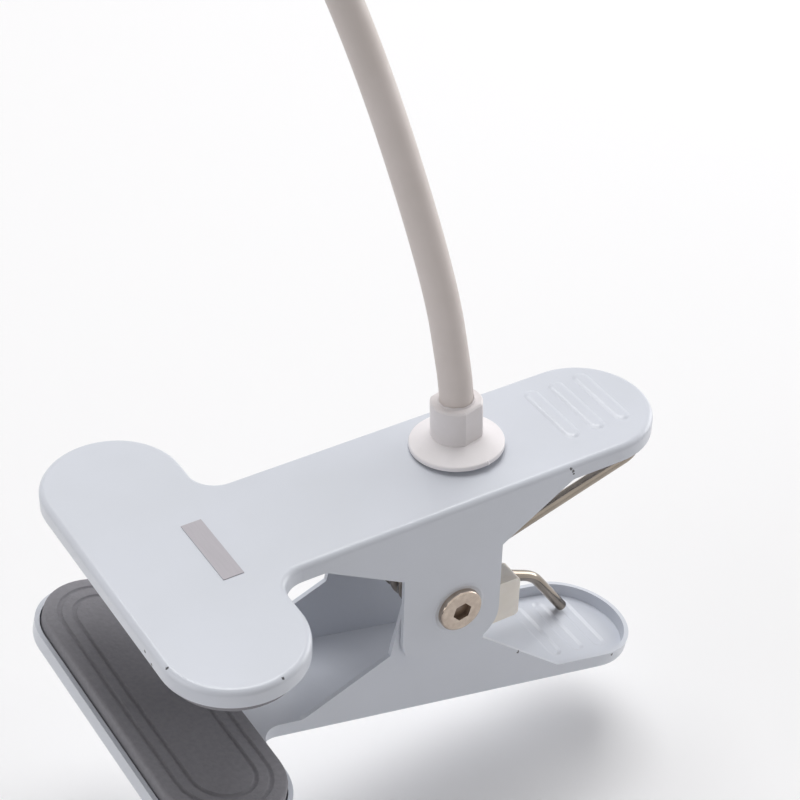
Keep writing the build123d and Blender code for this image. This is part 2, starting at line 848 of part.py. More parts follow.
bore_floor = holder_mouth - holder_bore_depth
with BuildPart() as holder_contact:
    with BuildSketch(head_section):
        half = contact_length / 2
        low = -(bore_floor + contact_thickness)
        Polygon(
            (-half, -bore_floor),
            (-half, low),
            (-half / 2, low),
            (0, low - contact_hump),
            (half / 2, low),
            (half, low),
            (half, -bore_floor),
            (half / 2, -bore_floor),
            (0, -bore_floor - contact_hump),
            (-half / 2, -bore_floor),
            align=None,
        )
    extrude(amount=contact_width / 2, both=True)
holder_contact.part.label = "holder_contact"
export_step(holder_contact.part, "parts/holder_contact.step")

# Shade: a spun bell with a rolled rim, clamped under the holder's flange by a ring
shade_rim = shade_top + shade_height
with BuildPart() as shade:
    with BuildSketch(head_section):
        with BuildLine():
            rim_point = (shade_rim_radius, -shade_rim)
            top_point = (shade_top_radius, -shade_top)
            SagittaArc(rim_point, top_point, -shade_bulge)
            Polyline(top_point, (0, -shade_top), (0, -shade_rim), rim_point)
        make_face()
    revolve(axis=head_axis)
    offset(amount=-shade_thickness, openings=shade.faces().sort_by(Axis.Z)[0])
    with BuildSketch(head_section):
        with Locations((shade_rim_radius - shade_bead / 2, -shade_rim)):
            Circle(shade_bead)
    revolve(axis=head_axis)
    with BuildSketch(below(shade_top)):
        Circle(holder_radius + shade_hole_gap)
    extrude(amount=-2 * shade_thickness, mode=Mode.SUBTRACT)
shade.part.label = "shade"
export_step(shade.part, "parts/shade.step")

with BuildPart() as shade_ring:
    with BuildSketch(below(shade_top + shade_thickness)):
        Circle(shade_ring_radius)
        Circle(holder_radius + thread_gap, mode=Mode.SUBTRACT)
    extrude(amount=-shade_ring_height)
    fillet(shade_ring.edges().group_by(Axis.Z)[0].sort_by(SortBy.RADIUS)[-1], shade_ring_edge)
shade_ring.part.label = "shade_ring"
export_step(shade_ring.part, "parts/shade_ring.step")

# Bulb: a hollow ball on a screw cap, with an insulator and its solder point
cap_end = holder_mouth + bulb_seat
bulb_centre = cap_end + bulb_glass_length - bulb_radius


def bulb_profile(inset):
    """Half the bulb's outline, a wall's inset inside its outer face."""
    ball = bulb_radius - inset
    shoulder = bulb_shoulder_radius - inset
    shoulder_drop = bulb_centre - (ball**2 - shoulder**2) ** 0.5
    with BuildSketch(head_section) as half:
        with BuildLine():
            Polyline(
                (0, -bulb_centre - ball),
                (0, -cap_end),
                (bulb_neck_radius - inset, -cap_end),
                (shoulder, -shoulder_drop),
            )
            ThreePointArc((shoulder, -shoulder_drop), (ball, -bulb_centre), (0, -bulb_centre - ball))
        make_face()
    return half.sketch


with BuildPart() as bulb_glass:
    add(revolve(bulb_profile(0), axis=head_axis, mode=Mode.PRIVATE))
    add(revolve(bulb_profile(glass_wall), axis=head_axis, mode=Mode.PRIVATE), mode=Mode.SUBTRACT)
bulb_glass.part.label = "bulb_glass"
export_step(bulb_glass.part, "parts/bulb_glass.step")

with BuildPart() as bulb_cap:
    with BuildSketch(below(cap_end)):
        Circle(bulb_cap_radius)
    extrude(amount=bulb_cap_length)
    chamfer(bulb_cap.edges().sort_by(Axis.Z)[-1], bulb_cap_edge)
bulb_cap.part.label = "bulb_cap"
export_step(bulb_cap.part, "parts/bulb_cap.step")

cap_top = cap_end - bulb_cap_length
with BuildPart() as bulb_contact:
    with BuildSketch(below(cap_top)):
        Circle(insulator_radius)
    extrude(amount=insulator_height, taper=insulator_taper)
bulb_contact.part.label = "bulb_contact"
export_step(bulb_contact.part, "parts/bulb_contact.step")
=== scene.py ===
# %% [markdown]
# # Dressing a clamp lamp
# The lamp's solids come from a CAD model: a pressed steel spring clip, a sleeved gooseneck and
# a small bell shade. This lesson loads them as a fixed frame, puts a real finish on each one,
# and rebuilds in mesh code those that a plain solid can't show: the spring's bright wire, the
# neck's soft sleeve, the rubber pads, screw threads and knurls.

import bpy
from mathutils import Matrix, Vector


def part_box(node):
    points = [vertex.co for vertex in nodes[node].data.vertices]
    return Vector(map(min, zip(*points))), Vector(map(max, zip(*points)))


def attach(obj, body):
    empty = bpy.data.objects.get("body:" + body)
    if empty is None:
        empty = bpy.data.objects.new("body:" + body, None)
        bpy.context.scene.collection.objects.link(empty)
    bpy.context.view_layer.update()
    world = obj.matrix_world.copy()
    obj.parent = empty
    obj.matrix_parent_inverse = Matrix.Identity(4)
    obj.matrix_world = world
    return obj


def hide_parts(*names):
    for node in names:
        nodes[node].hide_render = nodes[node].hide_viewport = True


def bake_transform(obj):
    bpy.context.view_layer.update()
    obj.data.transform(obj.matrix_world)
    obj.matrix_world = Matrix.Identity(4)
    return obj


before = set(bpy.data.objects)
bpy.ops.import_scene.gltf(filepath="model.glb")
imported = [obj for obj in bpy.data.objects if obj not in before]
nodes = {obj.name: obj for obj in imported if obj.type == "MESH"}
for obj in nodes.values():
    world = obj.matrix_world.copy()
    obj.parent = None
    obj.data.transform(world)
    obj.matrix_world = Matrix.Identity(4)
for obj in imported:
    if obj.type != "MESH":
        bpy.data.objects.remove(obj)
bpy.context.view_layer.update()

# %% [markdown]
# Every length below is written in millimetres, as a maker would say it, and one factor turns
# it into Blender's metres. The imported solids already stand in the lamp's own frame: the origin
# is the middle of the upper pad's grip, X runs to the handles and Z is up.

# %% Units
from math import cos, pi, radians, sin

import bmesh
import bpy
from mathutils import Matrix, Vector

mm = 0.001
scene = bpy.context.scene


def point(x, y, z):
    """A place in the lamp's frame, given in millimetres."""
    return Vector((x, y, z)) * mm


# %% [markdown]
# ## Camera
# A product photographer stands back with a long lens, so that edges stay nearly parallel. A
# camera could be aimed with a constraint, but its axes are known here, so its matrix is filled
# in from them: right, up, and the way it looks back.

# %% Place the camera
camera_place = point(-162.88, -353.43, 346.95)
film_width = 36.0
lens_length = 101.79
camera_right = Vector((0.855066, -0.517946, 0.024390)).normalized()
camera_up = Vector((0.296644, 0.527219, 0.796268)).normalized()
axes = Matrix((camera_right, camera_up, camera_right.cross(camera_up))).transposed()
camera = bpy.data.objects.new("camera", bpy.data.cameras.new("camera"))
camera.matrix_world = Matrix.Translation(camera_place) @ axes.to_4x4()
camera.data.sensor_fit = "HORIZONTAL"
camera.data.sensor_width = film_width
camera.data.lens = lens_length
scene.collection.objects.link(camera)
scene.camera = camera
print("camera:", lens_length, "mm lens on a", film_width, "mm sensor")

# %% [markdown]
# ## Light
# A studio lights a pale product with a large softbox overhead and lets the white room fill the
# shadows. An area lamp is that softbox: the larger it is, the softer the shadow. It hangs on
# the handles' side, so that the lamp's own head doesn't shade the jaws. Two weaker ones stand
# low: one beyond the jaws lifts their front edges, and one beyond the handles models the neck
# and the collar from the side. Lamps are large, so their places and widths are in metres.

# %% Hang the softboxes
clip_middle = point(60, 0, 0)


def softbox(name, place, width, watts):
    """A square area lamp that faces the clip."""
    light = bpy.data.lights.new(name, "AREA")
    light.shape = "SQUARE"
    light.size = width
    light.energy = watts
    lamp = bpy.data.objects.new(name, light)
    aim = (clip_middle - place).to_track_quat("-Z", "Y").to_matrix().to_4x4()
    lamp.matrix_world = Matrix.Translation(place) @ aim
    scene.collection.objects.link(lamp)
    return lamp


overhead = softbox("softbox_overhead", Vector((0.35, 0.55, 1.45)), 1.1, 17.2)
beyond_jaws = softbox("softbox_beyond_jaws", Vector((-1.6, 0.1, 0.55)), 1.2, 6.3)
beyond_handles = softbox("softbox_beyond_handles", Vector((1.45, 0.05, 0.30)), 0.9, 7.6)
for light in (overhead, beyond_jaws, beyond_handles):
    print(light.name, light.data.energy, "W")

# %% [markdown]
# ## Colours and nodes
# Paint and plastic are matched on a screen, in sRGB, but light adds up linearly, so one
# function turns a hex colour into linear red, green and blue. Another adds a shader node: its
# settings are plain keywords, and each socket gets either a value or another node's output.

# %% Helpers for shader trees


def linear(code):
    """The linear red, green, blue and alpha of an sRGB hex colour."""
    parts = [int(code[i : i + 2], 16) / 255 for i in (1, 3, 5)]
    return (*[c / 12.92 if c <= 0.04045 else ((c + 0.055) / 1.055) ** 2.4 for c in parts], 1.0)


def add(owner, kind, sockets=None, **settings):
    """Add a shader node, set it, and fill the sockets that are named or numbered."""
    tree = owner.node_tree
    node = tree.nodes.new("ShaderNode" + kind)
    for name, value in settings.items():
        setattr(node, name, value)
    for name, value in (sockets or {}).items():
        fill(owner, node, name, value)
    return node


def fill(owner, node, name, value):
    """Set one socket, or link it where the value is another node's output."""
    if isinstance(value, bpy.types.NodeSocket):
        owner.node_tree.links.new(value, node.inputs[name])
    else:
        node.inputs[name].default_value = value


# %% [markdown]
# ## White room
# The world is the room. What a surface receives from it is a modest grey, so that shapes keep
# their shading, while the camera, mirror-like surfaces and glass see it as white. The Light
# Path node tells the kinds of ray apart.

# %% Colour the room
room_tint = (1.0, 0.975, 0.97, 1.0)
room_white = (1.0, 1.0, 1.0, 1.0)
room_level = 0.28
room = bpy.data.worlds.new("white_room")
room.use_nodes = True
scene.world = room
scene.view_settings.view_transform = "Standard"
received = room.node_tree.nodes["Background"]
fill(room, received, "Color", room_tint)
fill(room, received, "Strength", room_level)
seen = add(room, "Background", {"Color": room_white, "Strength": 1.0})
ray = add(room, "LightPath")
kinds = {0: ray.outputs["Is Glossy Ray"], 1: ray.outputs["Is Transmission Ray"]}
mirrored = add(room, "Math", kinds, operation="MAXIMUM").outputs[0]
kinds = {0: ray.outputs["Is Camera Ray"], 1: mirrored}
direct = add(room, "Math", kinds, operation="MAXIMUM").outputs[0]
choice = add(room, "MixShader", {0: direct, 1: received.outputs[0], 2: seen.outputs[0]})
fill(room, room.node_tree.nodes["World Output"], "Surface", choice.outputs[0])
print("room:", room_level, "of white reaches the surfaces")

# %% [markdown]
# ## From a real material to a shader
# One Principled shader stands for each material. It starts from the typical values of the real
# thing: about 1.5 for the refraction of paint and plastic, full metallic for a bare metal, and
# a roughness that says how it was made. A texture's scale is how many of its features fit in a
# metre, so it is worked out from their real size.

# %% Helpers for materials


def finish(name, colour, roughness, sockets=None):
    """A material with one Principled shader at typical values, and that shader."""
    material = bpy.data.materials.new(name)
    material.use_nodes = True
    shader = material.node_tree.nodes["Principled BSDF"]
    start = {"Base Color": linear(colour), "Roughness": roughness, **(sockets or {})}
    for socket, value in start.items():
        fill(material, shader, socket, value)
    return material, shader


def per_metre(size):
    """How many features of a size in millimetres fit in a metre."""
    return 1000 / size


def place_in_lamp(material):
    """A place in the lamp's own frame, which stays on the piece when it moves."""
    return add(material, "TexCoord").outputs["Object"]


def from_axis(material, place, centre, across):
    """How far a place is from an axis; across is 1 for the axes that the distance spans."""
    away = add(material, "VectorMath", {0: place, 1: point(*centre)}, operation="SUBTRACT")
    flat = add(material, "VectorMath", {0: away.outputs[0], 1: across}, operation="MULTIPLY")
    return add(material, "VectorMath", {0: flat.outputs[0]}, operation="LENGTH").outputs["Value"]


def cloud(material, place, size, low, high, detail=3.0):
    """Soft patches of about one size, as a value that wanders from low to high."""
    patches = add(material, "TexNoise", {"Vector": place, "Scale": per_metre(size), "Detail": detail})
    spread = {"Value": patches.outputs["Fac"], "From Min": 0.32, "From Max": 0.68}
    spread.update({"To Min": low, "To Max": high})
    return add(material, "MapRange", spread).outputs["Result"]


def two_tones(material, shader, place, size, first, second):
    """Let the colour wander between two tones, in patches of about one size."""
    tones = {0: cloud(material, place, size, 0.0, 1.0), 6: linear(first), 7: linear(second)}
    mix = add(material, "Mix", tones, data_type="RGBA")
    fill(material, shader, "Base Color", mix.outputs[2])
    return mix.outputs[2]


def uneven_gloss(material, shader, place, size, low, high):
    """Let the roughness wander, as handling and uneven cooling leave it."""
    fill(material, shader, "Roughness", cloud(material, place, size, low, high))


def fine_grain(material, shader, place, size, depth):
    """Raise and sink the skin in soft grains of one size, by a depth in millimetres."""
    height = cloud(material, place, size, 0.0, 1.0, 2.0)
    relief = add(material, "Bump", {"Height": height, "Distance": depth * mm})
    fill(material, shader, "Normal", relief.outputs["Normal"])


# %% [markdown]
# ## Stove enamel
# The clip is pressed steel, sprayed with a pale blue enamel and baked. Baking leaves a satin
# film with a faint orange peel, waves of about 1.5 mm. The film could be one plain shader, but
# a clear coat over a rougher base gives both things that the eye sees: a soft sheen on the
# flats, and small sharp glints along the rounded edges.

# %% Bake the blue enamel
enamel_blue = "#D4D8E1"
enamel_pale = "#D1D5DD"
bare_steel = "#46464A"
peel_size = 1.5
peel_depth = 0.004


def stove_enamel(name, colour):
    """A baked paint film: its material, shader and place."""
    film = {"Coat Weight": 0.25, "Coat Roughness": 0.08}
    material, shader = finish(name, colour, 0.35, film)
    place = place_in_lamp(material)
    fine_grain(material, shader, place, peel_size, peel_depth)
    uneven_gloss(material, shader, place, 18, 0.30, 0.40)
    return material, shader, place


blue_enamel, shader, place = stove_enamel("blue_stove_enamel", enamel_blue)
painted = two_tones(blue_enamel, shader, place, 25, enamel_blue, enamel_pale)
print("enamel: peel of", peel_size, "mm")

# %% [markdown]
# The film is thin at edges, where knocks chip it down to the dark steel. The chips sit where
# this clip has them, along the jaw's lip and the handles. Each one is a ball in space, a few
# tenths of a millimetre across, that paints what it touches. The distance to its middle is
# counted in its own radii, and a fine noise added to that makes its outline ragged.

# %% Chip the enamel
chips = [
    ((-17.4, -22.3, 4.9), 0.42),
    ((-17.4, -25.4, 3.6), 0.40),
    ((-16.6, -31.7, 7.3), 0.36),
    ((3.5, -46.6, 7.2), 0.38),
    ((98.2, -17.7, 6.6), 0.36),
    ((98.9, -17.7, 5.7), 0.42),
    ((99.1, -17.7, 4.8), 0.30),
    ((87.7, -16.2, -49.9), 0.40),
    ((118.6, -16.0, -65.5), 0.40),
]
ragged = cloud(blue_enamel, place, 0.35, 0.0, 0.8)
nearest = 10.0
for centre, radius in chips:
    away = add(blue_enamel, "VectorMath", {0: place, 1: point(*centre)}, operation="DISTANCE")
    share = add(blue_enamel, "Math", {0: away.outputs["Value"], 1: radius * mm}, operation="DIVIDE")
    nearest = add(blue_enamel, "Math", {0: nearest, 1: share.outputs[0]}, operation="MINIMUM").outputs[0]
edge = add(blue_enamel, "Math", {0: nearest, 1: ragged}, operation="ADD").outputs[0]
chipped = add(blue_enamel, "MapRange", {"Value": edge, 1: 1.2, 2: 1.5, 3: 1.0, 4: 0.0}).outputs[0]
worn = {0: chipped, 6: painted, 7: linear(bare_steel)}
fill(blue_enamel, shader, "Base Color", add(blue_enamel, "Mix", worn, data_type="RGBA").outputs[2])
print("enamel:", len(chips), "chips on the clip")

# %% [markdown]
# Where the screw's head was drawn down on the ear, it pressed the film up into a faint ring. It
# is a bump over the distance from the pivot's axis: up to the ring's crest and down again.

# %% Press the film up round the pivot
pivot = (67.7, 0.0, -24.5)
across_pivot = (1.0, 0.0, 1.0)
ring_radius = 6.7
ring_width = 0.6
ring_height = 0.12
reach = from_axis(blue_enamel, place, pivot, across_pivot)
off_crest = add(blue_enamel, "Math", {0: reach, 1: ring_radius * mm}, operation="SUBTRACT").outputs[0]
away = add(blue_enamel, "Math", {0: off_crest}, operation="ABSOLUTE").outputs[0]
slope = {"Value": away, 1: 0.0, 2: ring_width * mm, 3: 1.0, 4: 0.0}
crest = add(blue_enamel, "MapRange", slope, interpolation_type="SMOOTHSTEP").outputs[0]
peel = shader.inputs["Normal"].links[0].from_socket
relief = add(blue_enamel, "Bump", {"Height": crest, "Distance": ring_height * mm, "Normal": peel})
fill(blue_enamel, shader, "Normal", relief.outputs["Normal"])
print("ring round the pivot:", 2 * ring_radius, "mm across")

# %% [markdown]
# The shade is spun from thin sheet. Outside it has the clip's enamel, and inside a white one
# that throws the light down. One material can carry both: which side a surface is on shows in
# whether its normal points away from a place inside the bell.

# %% Enamel the shade inside and out
head_axis = (-92.0, 70.0)
enamel_white = "#F1F1EE"
inside_height = 130.0
shade_enamel, shader, place = stove_enamel("shade_stove_enamel", enamel_blue)
inside = point(*head_axis, inside_height)
from_inside = add(shade_enamel, "VectorMath", {0: place, 1: inside}, operation="SUBTRACT")
normal = add(shade_enamel, "TexCoord").outputs["Normal"]
ways = {0: from_inside.outputs[0], 1: normal}
facing = add(shade_enamel, "VectorMath", ways, operation="DOT_PRODUCT").outputs["Value"]
outside = add(shade_enamel, "Math", {0: facing, 1: 0.0}, operation="GREATER_THAN").outputs[0]
coats = {0: outside, 6: linear(enamel_white), 7: linear(enamel_blue)}
fill(shade_enamel, shader, "Base Color", add(shade_enamel, "Mix", coats, data_type="RGBA").outputs[2])
print("shade: blue outside and white inside")

# %% [markdown]
# ## Rubber
# Moulded parts copy the skin of their mould. The pads are a dull grey rubber, and the fine pits
# of their mould scatter the light, so they get almost no shine and a pitted bump. A real pit
# has a round floor, which the distance inside a Voronoi cell draws; noise would give lumps. The
# grommet is a blacker, closer rubber that looks a little oily.

# %% Mould the rubber
pad_rubber, shader = finish("moulded_pad_rubber", "#89888D", 0.8, {"Specular IOR Level": 0.3})
place = place_in_lamp(pad_rubber)
two_tones(pad_rubber, shader, place, 1.2, "#87868B", "#8E8D92")
pits = add(pad_rubber, "TexVoronoi", {"Vector": place, "Scale": per_metre(0.7)})
relief = add(pad_rubber, "Bump", {"Height": pits.outputs["Distance"], "Distance": 0.05 * mm})
fill(pad_rubber, shader, "Normal", relief.outputs["Normal"])

grommet_rubber, shader = finish("black_grommet_rubber", "#27272A", 0.6)
place = place_in_lamp(grommet_rubber)
uneven_gloss(grommet_rubber, shader, place, 3, 0.5, 0.7)
fine_grain(grommet_rubber, shader, place, 0.5, 0.01)
print("rubber: pits 0.7 mm apart")

# %% [markdown]
# ## Plastics
# The flange and the switch button are white ABS from a finely sparked mould, which reads as a
# satin skin. The collar and the ferrule are that white ABS too, set a little greyer as painted
# shade, and the switch's body is black. The holder is a hard thermoset with a glossier, cleaner
# skin. The guides in the spring are natural nylon: light sinks a millimetre into it, and a little
# subsurface scattering shows that soft glow.

# %% Mould the plastics


def moulded(name, colour, deeper, roughness, grain, depth, sockets=None):
    """A moulded plastic whose tone and gloss wander a little, over its mould's grain."""
    plastic, shader = finish(name, colour, roughness, sockets)
    place = place_in_lamp(plastic)
    two_tones(plastic, shader, place, 8, colour, deeper)
    uneven_gloss(plastic, shader, place, 4, roughness - 0.04, roughness + 0.06)
    fine_grain(plastic, shader, place, grain, depth)
    return plastic


white_abs = moulded("white_abs", "#F6F2F4", "#F1EDEE", 0.38, 0.45, 0.004)
# painted shade: the collar's and the ferrule's white ABS, set a little greyer than the flange's
shaded_white_abs = moulded("shaded_white_abs", "#E8E3E4", "#E1DCDC", 0.42, 0.45, 0.006)
black_abs = moulded("black_abs", "#1E1E20", "#242427", 0.45, 0.40, 0.006)
white_thermoset = moulded("white_thermoset", "#E9E6DF", "#E3E0D8", 0.28, 0.80, 0.004)
glow = {"Subsurface Weight": 0.2, "Subsurface Radius": (1.0, 0.8, 0.6), "Subsurface Scale": 1.0 * mm}
natural_nylon = moulded("natural_nylon", "#F2EDE6", "#EAE4DB", 0.40, 0.60, 0.006, glow)
print("plastics: grain of 0.4 to 0.8 mm")

# %% [markdown]
# ## Vinyl sleeve
# The neck wears a smooth sleeve of warm grey soft PVC. It is extruded, so it has no pattern
# across it, only faint lines along it from the die and slow cloudy patches where it has been
# handled. The lines have to follow the bends, so the sleeve's own mesh will carry a value at
# each of its corners: where it is round the neck and how far along. The shader reads that
# value by its name.

# %% Extrude the vinyl
round_and_along = "round_and_along"


def drawn_lines(material, shader, spacing, length, depth):
    """Fine lines that a die leaves along a swept piece."""
    way = add(material, "Attribute", attribute_name=round_and_along).outputs["Vector"]
    squeeze = (per_metre(spacing), per_metre(spacing), per_metre(length))
    scaled = add(material, "VectorMath", {0: way, 1: squeeze}, operation="MULTIPLY").outputs[0]
    lines = add(material, "TexNoise", {"Vector": scaled, "Scale": 1.0, "Detail": 2.0})
    relief = add(material, "Bump", {"Height": lines.outputs["Fac"], "Distance": depth * mm})
    fill(material, shader, "Normal", relief.outputs["Normal"])


soft_vinyl, shader = finish("grey_soft_vinyl", "#DAD1CD", 0.5)
place = place_in_lamp(soft_vinyl)
two_tones(soft_vinyl, shader, place, 14, "#DDD4D0", "#D6CDC8")
uneven_gloss(soft_vinyl, shader, place, 9, 0.44, 0.56)
drawn_lines(soft_vinyl, shader, 0.8, 30, 0.008)
print("vinyl: die lines 0.8 mm apart")

# %% [markdown]
# ## Turned nickel
# A bare metal is fully metallic: its colour is the colour of its reflections, and it keeps the
# default refraction. The pivot's screw and the switch's bezel are nickel plated over turning
# marks, rings round their axis, which break a highlight into a soft fan. A sine over the
# distance from that axis draws them.

# %% Plate the nickel
ring_spacing = 0.4  # real turning marks are nearer 0.1 mm apart, too fine to show here


def turned_nickel(name, centre, across):
    """Nickel plate over the rings that a lathe left round an axis."""
    material, shader = finish(name, "#BDB0A4", 0.24, {"Metallic": 1.0})
    place = place_in_lamp(material)
    plated = two_tones(material, shader, place, 1.6, "#C2B5A8", "#AFA195")
    uneven_gloss(material, shader, place, 2.5, 0.14, 0.26)
    reach = from_axis(material, place, centre, across)
    turns = 2 * pi * per_metre(ring_spacing)
    phase = add(material, "Math", {0: reach, 1: turns}, operation="MULTIPLY").outputs[0]
    rings = add(material, "Math", {0: phase}, operation="SINE").outputs[0]
    relief = add(material, "Bump", {"Height": rings, "Distance": 0.002 * mm})
    fill(material, shader, "Normal", relief.outputs["Normal"])
    return material, shader, place, plated


switch_place = (head_axis[0], 57.9, 0.0)
nickel_pivot, shader, place, plated = turned_nickel("nickel_on_pivot", pivot, across_pivot)
nickel_bezel = turned_nickel("nickel_on_bezel", switch_place, (1.0, 1.0, 0.0))[0]
print("nickel: turning marks", ring_spacing, "mm apart")

# %% [markdown]
# Plating hardly reaches into a socket and polish stays behind in it, so the hexagon in the
# screw's head is dull and brown and shows no metal; that dark brown also stands in for the
# recess's shade, as painted shade. A place that is deeper than the head's flat face and near the
# axis is in the socket, and the box of the screw says where that face is.

# %% Dull and shade the socket
socket_reach = 2.9
screw_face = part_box("pivot_screw")[0].y
depth = add(nickel_pivot, "SeparateXYZ", {0: place}).outputs["Y"]
hollow = {"Value": depth, 1: screw_face + 0.1 * mm, 2: screw_face + 0.7 * mm}
sunk = add(nickel_pivot, "MapRange", hollow).outputs[0]
reach = from_axis(nickel_pivot, place, pivot, across_pivot)
near = add(nickel_pivot, "Math", {0: reach, 1: socket_reach * mm}, operation="LESS_THAN").outputs[0]
# painted shade: the socket is darkened to a dull brown and loses its metal
dull_and_shaded = add(nickel_pivot, "Math", {0: sunk, 1: near}, operation="MULTIPLY").outputs[0]
tones = {0: dull_and_shaded, 6: plated, 7: linear("#84705F")}
fill(nickel_pivot, shader, "Base Color", add(nickel_pivot, "Mix", tones, data_type="RGBA").outputs[2])
bare = add(nickel_pivot, "Math", {0: 1.0, 1: dull_and_shaded}, operation="SUBTRACT").outputs[0]
fill(nickel_pivot, shader, "Metallic", bare)
print("socket: dull below the face at", round(screw_face / mm, 2), "mm")

# %% [markdown]
# ## Drawn wire
# The spring's wire is pulled through a die and then nickel plated. It is the smoothest metal on
# the lamp, so each turn carries a sharp bright line, and the die's marks run along the wire.

# %% Draw the wire
nickel_wire, shader = finish("drawn_nickel_wire", "#A0968B", 0.18, {"Metallic": 1.0})
place = place_in_lamp(nickel_wire)
uneven_gloss(nickel_wire, shader, place, 5, 0.09, 0.16)
two_tones(nickel_wire, shader, place, 7, "#A0968B", "#90877C")
drawn_lines(nickel_wire, shader, 0.35, 12, 0.008)
print("wire: draw marks 0.35 mm apart")

# %% [markdown]
# ## Zinc, brass and aluminium
# Nuts, nipples and the conduit's strip are zinc plated, a cool grey with cloudy patches. The
# holder's shell and contact are pressed from brass, which colours what it mirrors a warm
# yellow. The bulb's cap is rolled aluminium, pale and even. They differ only in tone, gloss
# and the size of their patches, so one function makes all four.

# %% Plate, press and roll the other metals


def bare_metal(name, colour, deeper, low, high, patch):
    """A bare metal whose tone and gloss wander in patches of about one size."""
    metal, shader = finish(name, colour, low, {"Metallic": 1.0})
    place = place_in_lamp(metal)
    two_tones(metal, shader, place, patch, colour, deeper)
    uneven_gloss(metal, shader, place, 2 * patch, low, high)
    fine_grain(metal, shader, place, 0.3, 0.002)
    return metal


zinc_plate = bare_metal("zinc_plate", "#C3C7CB", "#B1B5BC", 0.26, 0.42, 1.5)
zinc_strip = bare_metal("wound_zinc_strip", "#B9BBBD", "#A8ABAF", 0.30, 0.45, 3.0)
pressed_brass = bare_metal("pressed_brass", "#D8B878", "#C7A362", 0.24, 0.38, 2.5)
rolled_aluminium = bare_metal("rolled_aluminium", "#CFCFD0", "#C3C3C5", 0.24, 0.36, 2.0)
print("metals: zinc, brass and aluminium")

# %% [markdown]
# ## Label foil
# The label is a plain grey foil, brushed so that its grain runs one way, which gives it a silky
# look. A noise squeezed across the grain and stretched along it draws both the tone and the
# relief of the brushing.

# %% Brush the foil
label_foil, shader = finish("brushed_label_foil", "#B2AEB4", 0.42)
place = place_in_lamp(label_foil)
grain_size = (per_metre(0.25), per_metre(6), per_metre(6))
stretched = add(label_foil, "VectorMath", {0: place, 1: grain_size}, operation="MULTIPLY")
grain = add(label_foil, "TexNoise", {"Vector": stretched.outputs[0], "Scale": 1.0, "Detail": 2.0})
tones = {0: grain.outputs["Fac"], 6: linear("#ACA8AE"), 7: linear("#B9B5BB")}
fill(label_foil, shader, "Base Color", add(label_foil, "Mix", tones, data_type="RGBA").outputs[2])
relief = add(label_foil, "Bump", {"Height": grain.outputs["Fac"], "Distance": 0.004 * mm})
fill(label_foil, shader, "Normal", relief.outputs["Normal"])
uneven_gloss(label_foil, shader, place, 5, 0.38, 0.48)
print("foil: grain 0.25 mm wide")

# %% [markdown]
# ## Opal glass
# The bulb's glass is milky all through, so light sinks in and scatters under a smooth, glossy
# skin. A deep subsurface scattering gives the milk, and a thin clear coat the gloss.

# %% Blow the opal glass
milk_depth = 4
milk = {"Subsurface Weight": 0.6, "Subsurface Radius": (1.0, 0.95, 0.85)}
milk.update({"Subsurface Scale": milk_depth * mm, "Coat Weight": 0.5, "Coat Roughness": 0.03})
opal_glass, shader = finish("opal_glass", "#F3F1EA", 0.18, milk)
place = place_in_lamp(opal_glass)
two_tones(opal_glass, shader, place, 20, "#F4F2EB", "#F0EDE5")
uneven_gloss(opal_glass, shader, place, 15, 0.15, 0.22)
print("opal glass: light sinks in", milk_depth, "mm")

# %% [markdown]
# ## Black glass and solder
# The insulator under the bulb's cap is cast black glass, and a bead of solder closes its
# middle. Both are one piece of the solids, so a ball round the bead's place, with a slightly
# uneven edge, tells where the glass ends and the metal starts.

# %% Cast the black glass and solder it
black_glass, shader = finish("black_glass_and_solder", "#17171A", 0.2)
place = place_in_lamp(black_glass)
solder_radius = 2.4
solder_middle = point(*head_axis, 191.2)
away = add(black_glass, "VectorMath", {0: place, 1: solder_middle}, operation="DISTANCE")
uneven = cloud(black_glass, place, 1.0, -0.3 * mm, 0.3 * mm)
edge = add(black_glass, "Math", {0: away.outputs["Value"], 1: uneven}, operation="ADD").outputs[0]
within = {0: edge, 1: solder_radius * mm}
solder = add(black_glass, "Math", within, operation="LESS_THAN").outputs[0]
tones = {0: solder, 6: linear("#17171A"), 7: linear("#A9ABAF")}
fill(black_glass, shader, "Base Color", add(black_glass, "Mix", tones, data_type="RGBA").outputs[2])
fill(black_glass, shader, "Metallic", solder)
print("solder: a bead", 2 * solder_radius, "mm across")

# %% [markdown]
# ## Finish the CAD solids
# Most of the lamp's solids have the right shape already, so they only take a finish. Each one
# keeps its mesh and its place, and its material slot gets the material of the real piece.

# %% Give each solid its finish
worn_by = [
    (blue_enamel, ["upper_jaw", "lower_jaw", "head_housing"]),
    (shade_enamel, ["shade"]),
    (pad_rubber, ["upper_pad", "lower_pad"]),
    (grommet_rubber, ["cord_grommet"]),
    (label_foil, ["label_plate"]),
    (nickel_pivot, ["pivot_screw", "pivot_nut"]),
    (nickel_bezel, ["switch_bezel"]),
    (nickel_wire, ["clamp_spring"]),
    (natural_nylon, ["spring_guide", "spring_spacer"]),
    (white_abs, ["neck_flange", "switch_button"]),
    (shaded_white_abs, ["neck_collar", "head_ferrule"]),
    (black_abs, ["switch_body"]),
    (white_thermoset, ["holder_cap", "holder_body", "shade_ring"]),
    (zinc_plate, ["neck_nipple", "nipple_washer", "nipple_nut", "head_nipple", "head_nut"]),
    (pressed_brass, ["holder_shell", "holder_contact"]),
    (opal_glass, ["bulb_glass"]),
    (rolled_aluminium, ["bulb_cap"]),
    (black_glass, ["bulb_contact"]),
]
lengths = ("base", "lower", "upper", "top")
worn_by.append((soft_vinyl, [f"neck_sleeve_{length}" for length in lengths]))
worn_by.append((zinc_strip, [f"neck_conduit_{length}" for length in lengths]))
for material, names in worn_by:
    for name in names:
        for slot in nodes[name].material_slots:
            slot.material = material
dressed = sum(len(names) for material, names in worn_by)
print("finishes:", len(worn_by), "on", dressed, "of", len(nodes), "solids")

